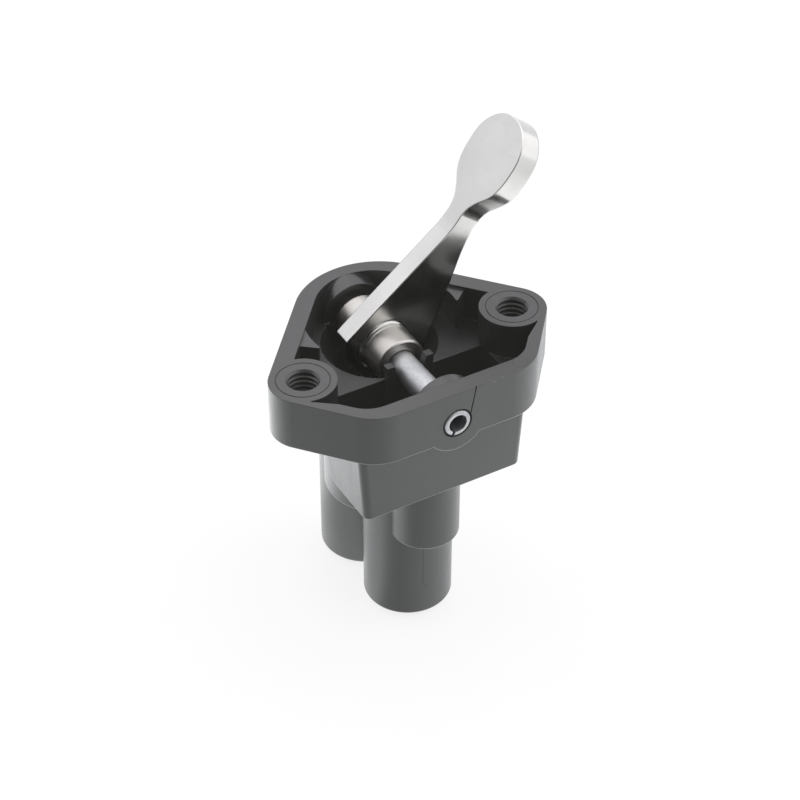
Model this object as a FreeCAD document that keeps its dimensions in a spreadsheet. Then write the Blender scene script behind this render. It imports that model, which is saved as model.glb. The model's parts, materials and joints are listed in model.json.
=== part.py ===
import FreeCAD, Part
import math
import os
import Sketcher
from FreeCAD import Vector, Rotation, Placement

# Lever operated three way valve for 8 mm tube, built as separate pieces.
# Frame: origin midway between the two mounting holes, in the plane of the
# rim (Z = 0).  X runs along the line of the two holes, Y along the pivot pin
# from the front face to the rear, Z up towards the lever.  Millimetres.

doc = FreeCAD.newDocument("three_way_valve")

# ---------------------------------------------------------------- dimensions
CELLS = [
    # flange (rim) outline: five-sided, rounded at each corner
    ("flange_depth", 8.3, "height of the flange skirt"),
    ("flange_front_y", 13.2, "front flat of the flange, distance in front of the hole line"),
    ("flange_front_x", 12.55, "corner between front flat and oblique side"),
    ("flange_side_x", 23.47, "side corner before rounding"),
    ("flange_side_y", 0.19, "side corner, distance in front of the hole line"),
    ("flange_rear_y", 27.77, "rear corner before rounding"),
    ("flange_front_fil", 7.0, "rounding of the front corners"),
    ("flange_side_fil", 4.95, "rounding of the side corners"),
    ("flange_rear_fil", 12.26, "rounding of the rear corner"),
    ("skirt_edge_fil", 0.35, "edge rounding of the skirt"),
    ("rim_edge_fil", 0.18, "edge rounding of the rim"),
    # mounting bosses
    ("hole_pitch", 34.0, "distance between the two mounting holes"),
    ("boss_rad", 4.8, "mounting boss radius"),
    ("thread_minor_rad", 2.1, "M5 thread, minor radius"),
    ("thread_major_rad", 2.5, "M5 thread, major radius"),
    ("thread_pitch", 0.8, "M5 thread pitch"),
    ("thread_depth", 7.0, "depth of the mounting holes"),
    ("witness_rad", 3.8, "witness ring on the boss face"),
    # well in the flange
    ("well_floor", 5.6, "depth of the shallow floor"),
    ("well_front_y", 10.55, "inner face of the front wall"),
    ("well_front_x", 12.3, "inner front corner before rounding"),
    ("well_side_x", 20.5, "inner side corner"),
    ("well_side_y", 0.78, "inner side corner, in front of the hole line"),
    ("pocket_rear_x", 13.55, "rear end of the side pocket"),
    ("pocket_rear_y", 7.5, "rear end of the side pocket"),
    ("pocket_tip_x", 9.5, "tip of the web between pocket and round well"),
    ("pocket_tip_y", 4.17, "tip of the web between pocket and round well"),
    ("well_flare_x", 15.2, "inner side corner of the front wall"),
    ("well_flare_y", 7.2, "inner side corner, in front of the hole line"),
    ("well_boss_x", 18.2, "front wall at the mounting boss"),
    ("well_boss_y", 4.9, "front wall at the mounting boss, in front of the hole line"),
    ("well_rear_y", 23.65, "rear corner of the well before rounding"),
    ("well_rear_fil", 8.6, "rounding of the rear corner of the well"),
    ("well_step", 0.45, "depth of the facets beside the round well"),
    ("round_well_y", 7.9, "centre of the round well"),
    ("round_well_rad", 11.35, "radius of the round well"),
    ("round_well_end_x", 11.0714, "end of the round well, half width"),
    ("round_well_end_y", 10.4, "end of the round well, behind the hole line"),
    ("step_rad", 8.6, "round well at the shallow floor"),
    ("bowl_rad", 6.9, "bowl under the lever"),
    ("bowl_top", 8.0, "depth where the bowl wall starts"),
    ("bowl_floor", 13.6, "depth of the bowl"),
    ("pit_half_x", 12.4, "front pit half width"),
    ("pit_front_y", 7.9, "front pit, front wall"),
    ("pit_rear_y", 0.6, "front pit, rear wall"),
    ("pit_floor", 12.6, "front pit depth"),
    # box block under the flange
    ("box_top_half", 13.75, "half width at the flange"),
    ("box_bottom_half", 12.85, "half width at the bottom"),
    ("box_front_y", 10.1, "front face of the box block"),
    ("box_rear_y", 0.9, "rear face of the box block"),
    ("box_bottom", 20.4, "bottom of the box block"),
    # valve chamber
    ("axis_y", 8.75, "centre plane of lever and stem"),
    ("chamber_out_rad", 8.5, "chamber block outside radius"),
    ("chamber_bottom", 31.6, "chamber block bottom"),
    ("chamber_rad", 6.0, "chamber bore radius"),
    ("chamber_floor", 28.0, "shoulder under the lower seat"),
    ("inlet_rad", 4.6, "inlet space radius"),
    ("inlet_floor", 29.2, "floor of the inlet space"),
    # stub and tube sockets
    ("stub_y", 4.55, "exhaust stub, in front of the hole line"),
    ("stub_rad", 5.15, "exhaust stub radius"),
    ("stub_bottom", 31.4, "exhaust stub end"),
    ("front_socket_y", 0.4, "front tube socket centre"),
    ("rear_socket_y", 13.7, "rear tube socket centre"),
    ("socket_rad", 6.75, "front tube socket outside radius"),
    ("rear_socket_rad", 6.95, "rear tube socket outside radius"),
    ("socket_bottom", 47.2, "tube socket mouth"),
    ("socket_fil", 0.7, "rounding at the socket mouth"),
    ("tube_rad", 4.08, "tube bore, for 8 mm tube"),
    ("tube_stop", 32.6, "depth of the tube stop"),
    ("tube_pass_rad", 3.0, "passage above the tube stop"),
    ("cart_rad", 5.6, "cartridge bore radius"),
    ("cart_top", 38.0, "cartridge bore shoulder"),
    # pivot pin
    ("pin_z", 5.28, "pin axis below the rim"),
    ("pin_rad", 2.05, "slotted spring pin outside radius"),
    ("pin_bore_rad", 1.42, "slotted spring pin bore"),
    ("pin_front_y", 13.35, "front end of the pin"),
    ("pin_length", 32.25, "pin length"),
    ("pin_slot", 0.48, "slot width of the pin"),
        ("front_boss_rad", 4.85, "pin boss in the front wall"),
    ("front_boss_inner_rad", 5.2, "inner end of the front pin boss, radius"),
    ("front_boss_y", 8.75, "inner end of the front pin boss"),
    ("rear_boss_rad", 4.93, "pin boss in the rear wall, inner end"),
    ("rear_boss_wall_rad", 5.26, "pin boss in the rear wall, at the wall"),
    ("rear_boss_y", 16.4, "inner end of the rear pin boss"),
    # lever
    ("lever_width", 3.1, "thickness of the lever arm plate"),
    ("hub_half", 6.51, "half length of the hub"),
    ("hub_rad", 3.82, "hub radius"),
    ("hub_ring_rad", 4.6, "foot of the hub at the arm plate"),
    ("hub_bore_rad", 2.1, "hub bore, running on the pin"),
    ("cam_high", 6.9, "cam height at the pressed position"),
    ("cam_low", 4.9, "cam height at the released position"),
    ("cam_angle", 80.0, "lever travel in degrees"),
    ("paddle_thick", 3.5, "thickness of the paddle"),
    # stem group, heights at the pressed position
    ("follower_top", 12.2, "top of the follower below the rim"),
    ("follower_rad", 2.8, "follower radius"),
    ("stem_rad", 2.0, "stem radius in the guide"),
]
sheet = doc.addObject("Spreadsheet::Sheet", "Dims")
for i, (alias, value, note) in enumerate(CELLS, start=1):
    sheet.set("A%d" % i, note)
    sheet.set("B%d" % i, str(value))
    sheet.setAlias("B%d" % i, alias)
doc.recompute()


class Q:
    """A length that carries both its value and its spreadsheet expression."""

    def __init__(self, value, text=None):
        self.v = float(value)
        self.t = text if text is not None else "(%r)" % float(value)

    def __add__(self, o):
        o = q(o)
        return Q(self.v + o.v, "(%s + %s)" % (self.t, o.t))

    __radd__ = __add__

    def __sub__(self, o):
        o = q(o)
        return Q(self.v - o.v, "(%s - %s)" % (self.t, o.t))

    def __rsub__(self, o):
        return q(o) - self

    def __mul__(self, k):
        k = q(k)
        return Q(self.v * k.v, "(%s * %s)" % (self.t, k.t))

    __rmul__ = __mul__

    def __truediv__(self, k):
        k = q(k)
        return Q(self.v / k.v, "(%s / %s)" % (self.t, k.t))

    def __neg__(self):
        return Q(-self.v, "(0 - %s)" % self.t)


def q(x):
    return x if isinstance(x, Q) else Q(x)


class Names:
    pass


S = Names()
for alias, value, note in CELLS:
    setattr(S, alias, Q(sheet.get(alias), "Dims." + alias))

# ------------------------------------------------------------------- helpers
NODES = []


def new_body(name, x=0, y=0, z=0, rot=None):
    body = doc.addObject("PartDesign::Body", name)
    body.Label = name
    x, y, z = q(x), q(y), q(z)
    body.Placement = Placement(Vector(x.v, y.v, z.v), rot or Rotation())
    for axis, val in (("x", x), ("y", y), ("z", z)):
        if val.v != 0:
            body.setExpression(".Placement.Base.%s" % axis, val.t)
    NODES.append(body)
    return body


def plane(body, role):
    for f in body.Origin.OriginFeatures:
        if f.Role == role:
            return f
    raise RuntimeError(role)


def new_sketch(body, name, role="XY_Plane", off=0, place=None):
    sk = body.newObject("Sketcher::SketchObject", name)
    sk.AttachmentSupport = [(plane(body, role), "")]
    sk.MapMode = "FlatFace"
    off = q(off)
    if place is not None:
        sk.AttachmentOffset = place
    elif off.v != 0:
        sk.AttachmentOffset = Placement(Vector(0, 0, off.v), Rotation())
        sk.setExpression(".AttachmentOffset.Base.z", off.t)
    return sk


def bind(sk, index, val):
    sk.setExpression("Constraints[%d]" % index, val.t)


def add_poly(sk, pts):
    pts = [(q(a), q(b)) for a, b in pts]
    first = sk.GeometryCount
    n = len(pts)
    for i in range(n):
        a, b = pts[i], pts[(i + 1) % n]
        sk.addGeometry(Part.LineSegment(Vector(a[0].v, a[1].v, 0), Vector(b[0].v, b[1].v, 0)), False)
    for i in range(n):
        sk.addConstraint(Sketcher.Constraint("Coincident", first + i, 2, first + (i + 1) % n, 1))
    for i in range(n):
        c = sk.addConstraint(Sketcher.Constraint("DistanceX", -1, 1, first + i, 1, pts[i][0].v))
        bind(sk, c, pts[i][0])
        c = sk.addConstraint(Sketcher.Constraint("DistanceY", -1, 1, first + i, 1, pts[i][1].v))
        bind(sk, c, pts[i][1])


def add_rounded_bar(sk, rad, top, bottom, fil):
    """Half section of a round bar from top to bottom with a rounded lower edge."""
    rad, top, bottom, fil = q(rad), q(top), q(bottom), q(fil)
    pts = [(Q(0), top), (rad, top), (rad, bottom + fil), (rad - fil, bottom), (Q(0), bottom)]
    ends = []
    for a, b in ((0, 1), (1, 2), (3, 4), (4, 0)):
        g = sk.addGeometry(Part.LineSegment(Vector(pts[a][0].v, pts[a][1].v, 0),
                                            Vector(pts[b][0].v, pts[b][1].v, 0)), False)
        ends.append(g)
    arc = sk.addGeometry(Part.ArcOfCircle(Part.Circle(Vector(rad.v - fil.v, bottom.v + fil.v, 0),
                                                      Vector(0, 0, 1), fil.v),
                                          math.radians(-90), 0.0), False)
    for (g1, p1, g2, p2) in ((ends[0], 2, ends[1], 1), (ends[1], 2, arc, 2), (arc, 1, ends[2], 1),
                             (ends[2], 2, ends[3], 1), (ends[3], 2, ends[0], 1)):
        sk.addConstraint(Sketcher.Constraint("Coincident", g1, p1, g2, p2))
    for g, p in ((ends[0], pts[0]), (ends[1], pts[1]), (ends[3], pts[4])):
        c = sk.addConstraint(Sketcher.Constraint("DistanceX", -1, 1, g, 1, p[0].v))
        bind(sk, c, p[0])
        c = sk.addConstraint(Sketcher.Constraint("DistanceY", -1, 1, g, 1, p[1].v))
        bind(sk, c, p[1])
    for g, p in ((ends[1], pts[2]), (ends[2], pts[3])):
        pos = 2 if g == ends[1] else 1
        c = sk.addConstraint(Sketcher.Constraint("DistanceX", -1, 1, g, pos, p[0].v))
        bind(sk, c, p[0])
        c = sk.addConstraint(Sketcher.Constraint("DistanceY", -1, 1, g, pos, p[1].v))
        bind(sk, c, p[1])
    c = sk.addConstraint(Sketcher.Constraint("Radius", arc, fil.v))
    bind(sk, c, fil)


def add_poly_arc(sk, pts, k, center_y, rad):
    """Closed outline whose piece from point k to point k + 1 is an arc about (0, center_y)."""
    pts = [(q(a), q(b)) for a, b in pts]
    n = len(pts)
    cy, rad = q(center_y), q(rad)
    for i in range(n):
        a, b = pts[i], pts[(i + 1) % n]
        if i == k:
            a1 = math.atan2(a[1].v - cy.v, a[0].v)
            a2 = math.atan2(b[1].v - cy.v, b[0].v)
            if a2 < a1:
                a2 += 2 * math.pi
            sk.addGeometry(Part.ArcOfCircle(Part.Circle(Vector(0, cy.v, 0), Vector(0, 0, 1), rad.v), a1, a2), False)
        else:
            sk.addGeometry(Part.LineSegment(Vector(a[0].v, a[1].v, 0), Vector(b[0].v, b[1].v, 0)), False)
    for i in range(n):
        sk.addConstraint(Sketcher.Constraint("Coincident", i, 2, (i + 1) % n, 1))
    for i in range(n):
        if i in (k, (k + 1) % n):
            continue
        for kind, val in (("DistanceX", pts[i][0]), ("DistanceY", pts[i][1])):
            c = sk.addConstraint(Sketcher.Constraint(kind, -1, 1, i, 1, val.v))
            bind(sk, c, val)
    c = sk.addConstraint(Sketcher.Constraint("Radius", k, rad.v))
    bind(sk, c, rad)
    for pos, i in ((1, k), (2, (k + 1) % n)):
        c = sk.addConstraint(Sketcher.Constraint("DistanceX", -1, 1, k, pos, pts[i][0].v))
        bind(sk, c, pts[i][0])
        c = sk.addConstraint(Sketcher.Constraint("DistanceY", -1, 1, k, pos, pts[i][1].v))
        bind(sk, c, pts[i][1])


def add_circle(sk, x, y, r):
    x, y, r = q(x), q(y), q(r)
    g = sk.addGeometry(Part.Circle(Vector(x.v, y.v, 0), Vector(0, 0, 1), r.v), False)
    c = sk.addConstraint(Sketcher.Constraint("DistanceX", -1, 1, g, 3, x.v))
    bind(sk, c, x)
    c = sk.addConstraint(Sketcher.Constraint("DistanceY", -1, 1, g, 3, y.v))
    bind(sk, c, y)
    c = sk.addConstraint(Sketcher.Constraint("Radius", g, r.v))
    bind(sk, c, r)


def feature(body, kind, name, sk, length=None, reversed_=False, midplane=False, through=False, taper=None):
    f = body.newObject("PartDesign::" + kind, name)
    f.Profile = sk
    if through:
        f.Type = "ThroughAll"
    else:
        length = q(length)
        f.Length = length.v
        f.setExpression("Length", length.t)
    f.Reversed = reversed_
    f.Midplane = midplane
    if taper:
        f.TaperAngle = taper
    sk.Visibility = False
    return f


def pad(body, name, sk, length, **kw):
    return feature(body, "Pad", name, sk, length, **kw)


def pocket(body, name, sk, length=None, **kw):
    """A pocket that must remove material: its volume is compared."""
    doc.recompute()
    before = body.Shape.Volume
    f = feature(body, "Pocket", name, sk, length, **kw)
    doc.recompute()
    if not body.Shape.Volume < before - 1e-4:
        raise RuntimeError("%s cuts nothing" % name)
    return f


def revolve(body, name, sk, axis="V_Axis"):
    f = body.newObject("PartDesign::Revolution", name)
    f.Profile = sk
    f.ReferenceAxis = (sk, [axis])
    f.Angle = 360.0
    sk.Visibility = False
    return f


def groove(body, name, sk, axis="V_Axis"):
    doc.recompute()
    before = body.Shape.Volume
    f = body.newObject("PartDesign::Groove", name)
    f.Profile = sk
    f.ReferenceAxis = (sk, [axis])
    f.Angle = 360.0
    sk.Visibility = False
    doc.recompute()
    if not body.Shape.Volume < before - 1e-4:
        raise RuntimeError("%s cuts nothing" % name)
    return f


def ring_body(name, pts, x=0, y=0, z=0):
    """A turned piece: profile (radius, height) about its own vertical axis."""
    b = new_body(name, x, y, z)
    sk = new_sketch(b, name + "_profile", "XZ_Plane")
    add_poly(sk, pts)
    revolve(b, name + "_turned", sk)
    return b


def round_edges(body, name, size, pick, kind="Fillet"):
    """Round (or chamfer) the edges of the body's tip for which pick(edge) holds."""
    doc.recompute()
    base = body.Tip
    names = ["Edge%d" % (i + 1) for i, e in enumerate(base.Shape.Edges) if pick(e)]
    if not names:
        raise RuntimeError("%s: no edges" % name)
    f = body.newObject("PartDesign::" + kind, name)
    f.Base = (base, names)
    size = q(size)
    if kind == "Fillet":
        f.Radius = size.v
        f.setExpression("Radius", size.t)
    else:
        f.Size = size.v
        f.setExpression("Size", size.t)
    doc.recompute()
    if "Invalid" in f.State or "Error" in f.State or not f.Shape.isValid():
        raise RuntimeError("%s failed on %s" % (name, names))
    return f


def near(a, b, tol=0.02):
    return abs(a - b) < tol


def box_of(e):
    return e.BoundBox


def vertical(e):
    b = e.BoundBox
    return b.XLength < 0.01 and b.YLength < 0.01 and b.ZLength > 0.5


# ---------------------------------------------------------------- valve body
# One moulding: flange with an open well, box block, chamber block, exhaust
# stub and two long tube sockets.
body = new_body("valve_body")

sk = new_sketch(body, "box_section", "XZ_Plane", -S.box_rear_y)
add_poly(sk, [(-S.box_top_half, -7.0), (S.box_top_half, -7.0),
              (S.box_bottom_half, -S.box_bottom), (-S.box_bottom_half, -S.box_bottom)])
pad(body, "box_block", sk, S.box_front_y + S.box_rear_y)
round_edges(body, "box_rear_rounding", 2.6,
            lambda e: e.BoundBox.XLength > 10 and near(e.BoundBox.YMin, S.box_rear_y.v)
            and near(e.BoundBox.ZMin, -S.box_bottom.v))
round_edges(body, "box_upright_rounding", 1.1,
            lambda e: e.BoundBox.ZLength > 5 and near(e.BoundBox.YMin, -S.box_front_y.v)
            and near(e.BoundBox.YLength, 0))
round_edges(body, "box_bottom_rounding", 0.4,
            lambda e: near(e.BoundBox.ZMin, -S.box_bottom.v) and near(e.BoundBox.ZLength, 0)
            and not (e.BoundBox.XLength > 10 and e.BoundBox.YMin > -5))

sk = new_sketch(body, "stub_section", "XY_Plane", -12.0)
add_circle(sk, 0, -S.stub_y, S.stub_rad)
pad(body, "exhaust_stub", sk, S.stub_bottom - 12.0, reversed_=True)
round_edges(body, "stub_rounding", 0.5,
            lambda e: near(e.BoundBox.ZMax, -S.stub_bottom.v) and near(e.BoundBox.ZLength, 0))

sk = new_sketch(body, "chamber_section", "XY_Plane", -7.0)
add_circle(sk, 0, S.axis_y, S.chamber_out_rad)
pad(body, "chamber_block", sk, S.chamber_bottom - 7.0, reversed_=True)
round_edges(body, "chamber_rounding", 0.5,
            lambda e: near(e.BoundBox.ZMax, -S.chamber_bottom.v) and near(e.BoundBox.ZLength, 0)
            and e.BoundBox.YMax > S.axis_y.v)

for which, yy, rad, top in (("front", S.front_socket_y, S.socket_rad, 15.0),
                            ("rear", S.rear_socket_y, S.rear_socket_rad, 7.0)):
    sk = new_sketch(body, which + "_socket_profile", "XZ_Plane", -yy)
    add_rounded_bar(sk, rad, -top, -S.socket_bottom, S.socket_fil)
    revolve(body, which + "_socket", sk)

sk = new_sketch(body, "flange_outline", "XY_Plane")
add_poly(sk, [(-S.flange_front_x, -S.flange_front_y), (S.flange_front_x, -S.flange_front_y),
              (S.flange_side_x, -S.flange_side_y), (Q(0), S.flange_rear_y),
              (-S.flange_side_x, -S.flange_side_y)])
pad(body, "flange", sk, S.flange_depth, reversed_=True)


def upright_at(x, y):
    return lambda e: vertical(e) and near(abs(e.BoundBox.Center.x), x, 0.05) \
        and near(e.BoundBox.Center.y, y, 0.05) and near(e.BoundBox.ZMax, 0)


round_edges(body, "flange_front_rounding", S.flange_front_fil,
            upright_at(S.flange_front_x.v, -S.flange_front_y.v))
round_edges(body, "flange_side_rounding", S.flange_side_fil,
            upright_at(S.flange_side_x.v, -S.flange_side_y.v))
round_edges(body, "flange_rear_rounding", S.flange_rear_fil,
            upright_at(0, S.flange_rear_y.v))

def skirt_edge(e):
    b = e.BoundBox
    if not (near(b.ZMin, -S.flange_depth.v) and near(b.ZLength, 0)):
        return False
    c = b.Center
    return b.YMin < -10.5 or b.XMax > 13.9 or b.XMin < -13.9 or b.YMax > 21.0


round_edges(body, "skirt_rounding", S.skirt_edge_fil, skirt_edge)

# front pin boss: flush with the front face, hangs below the skirt
sk = new_sketch(body, "front_boss_profile", "YZ_Plane", place=Placement(Vector(0, -S.pin_z.v, 0), Rotation()))
sk.setExpression(".AttachmentOffset.Base.y", (-S.pin_z).t)
rounding = [(-S.flange_front_y + 0.4 * (1 - math.cos(math.radians(a))),
             S.front_boss_rad - 0.4 * (1 - math.sin(math.radians(a)))) for a in range(0, 91, 15)]
add_poly(sk, [(-S.flange_front_y, 0)] + rounding + [(Q(-9.2), S.front_boss_rad), (-9.2, 0)])
revolve(body, "front_boss_outer", sk, "H_Axis")

# ---- the well
# a shallow recess follows the rim; the side pockets and the round middle go
# down to the floor and leave two low facets between them
slope = math.atan2(S.well_side_x.v, S.well_rear_y.v + S.well_side_y.v)
arc_y = S.well_rear_y - S.well_rear_fil * (1 / math.sin(slope))
rear_tx, rear_ty = S.well_rear_fil * math.cos(slope), arc_y + S.well_rear_fil * math.sin(slope)
sk = new_sketch(body, "well_recess_outline", "XY_Plane")
add_poly_arc(sk, [(-S.well_front_x, -S.well_front_y), (S.well_front_x, -S.well_front_y),
                  (S.well_flare_x, -S.well_flare_y), (S.well_boss_x, -S.well_boss_y),
                  (S.well_side_x, -S.well_side_y), (rear_tx, rear_ty), (-rear_tx, rear_ty),
                  (-S.well_side_x, -S.well_side_y), (-S.well_boss_x, -S.well_boss_y),
                  (-S.well_flare_x, -S.well_flare_y)], 5, arc_y, S.well_rear_fil)
pocket(body, "well_recess", sk, S.well_step)
sk = new_sketch(body, "rear_well_outline", "XY_Plane")
rear_x = (S.well_rear_y - S.round_well_end_y) * math.tan(slope)
add_poly_arc(sk, [(-rear_x, S.round_well_end_y), (rear_x, S.round_well_end_y), (rear_tx, rear_ty),
                  (-rear_tx, rear_ty)], 2, arc_y, S.well_rear_fil)
pocket(body, "rear_well", sk, S.well_floor)
sk = new_sketch(body, "well_outline", "XY_Plane")
add_poly(sk, [(-S.well_front_x, -S.well_front_y), (S.well_front_x, -S.well_front_y),
              (S.well_flare_x, -S.well_flare_y), (S.well_boss_x, -S.well_boss_y),
              (S.well_side_x, -S.well_side_y), (S.pocket_rear_x, S.pocket_rear_y),
              (S.pocket_tip_x, S.pocket_tip_y), (-S.pocket_tip_x, S.pocket_tip_y),
              (-S.pocket_rear_x, S.pocket_rear_y), (-S.well_side_x, -S.well_side_y),
              (-S.well_boss_x, -S.well_boss_y), (-S.well_flare_x, -S.well_flare_y)])
pocket(body, "well", sk, S.well_floor)
round_edges(body, "well_corner_rounding", 5.0,
            lambda e: vertical(e) and near(abs(e.BoundBox.Center.x), S.well_front_x.v, 0.05)
            and near(e.BoundBox.Center.y, -S.well_front_y.v, 0.05))
sk = new_sketch(body, "round_well_outline", "XY_Plane")
cy, cr, ex, ey = S.round_well_y, S.round_well_rad, S.round_well_end_x, S.round_well_end_y
lean = math.atan2(ey.v - cy.v, ex.v)
sk.addGeometry(Part.ArcOfCircle(Part.Circle(Vector(0, cy.v, 0), Vector(0, 0, 1), cr.v),
                                math.pi - lean, 2 * math.pi + lean), False)
sk.addGeometry(Part.LineSegment(Vector(ex.v, ey.v, 0), Vector(-ex.v, ey.v, 0)), False)
sk.addConstraint(Sketcher.Constraint("Coincident", 0, 2, 1, 1))
sk.addConstraint(Sketcher.Constraint("Coincident", 1, 2, 0, 1))
for g, pos, val in ((0, 3, (Q(0), cy)), (1, 1, (None, ey)), (1, 2, (None, ey))):
    if val[0] is not None:
        c = sk.addConstraint(Sketcher.Constraint("DistanceX", -1, 1, g, pos, val[0].v))
        bind(sk, c, val[0])
    c = sk.addConstraint(Sketcher.Constraint("DistanceY", -1, 1, g, pos, val[1].v))
    bind(sk, c, val[1])
c = sk.addConstraint(Sketcher.Constraint("Radius", 0, cr.v))
bind(sk, c, cr)
pocket(body, "round_well", sk, S.well_floor)
round_edges(body, "web_tip_rounding", 0.2,
            lambda e: vertical(e) and 10.6 < abs(e.BoundBox.Center.x) < 11.5
            and 5.0 < e.BoundBox.Center.y < 6.0)

sk = new_sketch(body, "pit_outline", "XY_Plane")
add_poly(sk, [(-S.pit_half_x, -S.pit_front_y), (S.pit_half_x, -S.pit_front_y),
              (S.pit_half_x, S.pit_rear_y), (-S.pit_half_x, S.pit_rear_y)])
pocket(body, "front_pit", sk, S.pit_floor)

# funnel from the shallow floor into the bowl, then the bowl and the chamber;
# the profile is turned about the stem axis, which the section plane carries
sk = new_sketch(body, "bore_profile", "XZ_Plane", -S.axis_y)
add_poly(sk, [(0, -3.0), (S.step_rad, -3.0), (S.step_rad, -S.well_floor), (S.bowl_rad, -S.bowl_top),
              (S.bowl_rad, -S.bowl_floor), (S.chamber_rad + 0.35, -S.bowl_floor),
              (S.chamber_rad, -S.bowl_floor - 0.35),
              (S.chamber_rad, -14.45), (S.chamber_rad + 0.45, -14.45),
              (S.chamber_rad + 0.45, -15.4), (S.chamber_rad, -15.4),
              (S.chamber_rad, -S.chamber_floor), (S.inlet_rad, -S.chamber_floor),
              (S.inlet_rad, -S.inlet_floor), (0, -S.inlet_floor)])
groove(body, "bowl_and_chamber", sk)

# room for the hub
sk = new_sketch(body, "hub_room_outline", "XY_Plane", -3.0)
add_poly(sk, [(-4.9, 1.7), (4.9, 1.7), (4.9, 16.1), (-4.9, 16.1)])
pocket(body, "hub_room", sk, 7.2)

# pin bosses inside the well
sk = new_sketch(body, "front_boss_inner_section", "XZ_Plane", S.front_boss_y)
add_circle(sk, 0, -S.pin_z, S.front_boss_inner_rad)
pad(body, "front_boss_inner", sk, 3.0)
sk = new_sketch(body, "rear_boss_profile", "YZ_Plane", place=Placement(Vector(0, -S.pin_z.v, 0), Rotation()))
sk.setExpression(".AttachmentOffset.Base.y", (-S.pin_z).t)
add_poly(sk, [(S.rear_boss_y, 0), (S.rear_boss_y, S.rear_boss_rad), (S.rear_boss_y + 2.3, S.rear_boss_wall_rad),
              (S.rear_boss_y + 3.4, S.rear_boss_wall_rad), (S.rear_boss_y + 3.4, 0)])
revolve(body, "rear_boss", sk, "H_Axis")

# cradle that carries the pin in front of the hub
sk = new_sketch(body, "cradle_section", "XZ_Plane", 0.3)
add_poly(sk, [(-3.75, -13.0), (3.75, -13.0), (3.75, -3.15), (2.6, -3.15), (2.06, -5.0),
              (-2.06, -5.0), (-2.6, -3.15), (-3.75, -3.15)])
pad(body, "pin_cradle", sk, 1.2, reversed_=True)

# mounting bosses
sk = new_sketch(body, "mount_boss_section", "XY_Plane")
add_circle(sk, -S.hole_pitch / 2, 0, S.boss_rad)
add_circle(sk, S.hole_pitch / 2, 0, S.boss_rad)
pad(body, "mount_bosses", sk, S.flange_depth - 0.5, reversed_=True)

# pin hole: through the front wall and the cradle, blind in the rear boss
sk = new_sketch(body, "pin_hole_section", "XZ_Plane", 20.0)
add_circle(sk, 0, -S.pin_z, S.pin_rad)
pocket(body, "pin_hole", sk, S.pin_length + 20.0 - S.pin_front_y + 0.2)
sk = new_sketch(body, "pin_recess_section", "XZ_Plane", S.flange_front_y + 1.0)
add_circle(sk, 0, -S.pin_z, S.pin_rad + 0.28)
pocket(body, "pin_recess", sk, 1.9)

# knit line from the rim to the pin hole, a shallow groove in the front face
sk = new_sketch(body, "knit_line_section", "XZ_Plane", S.flange_front_y + 1.0)
add_poly(sk, [(2.9, 0.5), (3.1, 0.5), (2.16, -4.55), (1.96, -4.55)])
pocket(body, "knit_line", sk, 1.22)

# mounting holes with a thread relief, and the witness ring round them
turns = []
for n in range(6):
    zt = -0.55 - S.thread_pitch.v * n
    turns += [(S.thread_minor_rad - 0.02, zt), (S.thread_minor_rad, zt), (S.thread_major_rad, zt - 0.28),
              (S.thread_major_rad, zt - 0.34), (S.thread_minor_rad, zt - 0.62),
              (S.thread_minor_rad - 0.02, zt - 0.62)]
for side, sx in (("left", -1), ("right", 1)):
    sk = new_sketch(body, side + "_mount_hole_outline", "XY_Plane", 0)
    add_circle(sk, sx * (S.hole_pitch / 2), 0, S.thread_minor_rad)
    pocket(body, side + "_mount_hole", sk, S.thread_depth)
    sk = new_sketch(body, side + "_witness_outline", "XY_Plane", 0)
    add_circle(sk, sx * (S.hole_pitch / 2), 0, S.witness_rad + 0.07)
    add_circle(sk, sx * (S.hole_pitch / 2), 0, S.witness_rad - 0.07)
    pocket(body, side + "_witness_ring", sk, 0.15)
    sk = new_sketch(body, side + "_thread_profile", "XZ_Plane",
                    place=Placement(Vector(sx * S.hole_pitch.v / 2, 0, 0), Rotation()))
    sk.setExpression(".AttachmentOffset.Base.x", (S.hole_pitch / 2 * sx).t)
    add_poly(sk, [(Q(0.5), turns[0][1])] + turns + [(Q(0.5), turns[-1][1])])
    groove(body, side + "_thread", sk)
round_edges(body, "mount_hole_chamfer", S.thread_major_rad - S.thread_minor_rad - 0.04,
            lambda e: near(e.BoundBox.ZMax, 0) and near(e.BoundBox.ZLength, 0)
            and near(e.BoundBox.XLength, 2 * S.thread_minor_rad.v, 0.02), kind="Chamfer")

# exhaust: cross hole from the chamber top to the slot in the stub
sk = new_sketch(body, "exhaust_cross_section", "XZ_Plane", 7.6)
add_circle(sk, 0, -21.35, 1.15)
pocket(body, "exhaust_cross_hole", sk, 7.6 + S.axis_y - 5.0)
sk = new_sketch(body, "exhaust_slot_outline", "XY_Plane", -S.stub_bottom - 1.0)
add_poly(sk, [(-2.2, -8.65), (2.2, -8.65), (2.2, -6.95), (-2.2, -6.95)])
pocket(body, "exhaust_slot", sk, S.stub_bottom + 1.0 - 20.0, reversed_=True)

# outlet: window from the chamber middle, down to the front socket
sk = new_sketch(body, "outlet_cross_section", "XZ_Plane", -S.front_socket_y)
add_circle(sk, 0, -25.1, 1.4)
pocket(body, "outlet_cross_hole", sk, S.axis_y - S.front_socket_y - 5.0)
sk = new_sketch(body, "outlet_down_outline", "XY_Plane", -35.0)
add_circle(sk, 0, S.front_socket_y, 1.9)
pocket(body, "outlet_down_hole", sk, 35.0 - 23.4, reversed_=True)
# inlet: from the rear socket into the space under the lower seat
sk = new_sketch(body, "inlet_up_outline", "XY_Plane", -35.0)
add_circle(sk, 0, S.axis_y + 2.9, 1.5)
pocket(body, "inlet_up_hole", sk, 35.0 - 29.0, reversed_=True)

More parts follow.
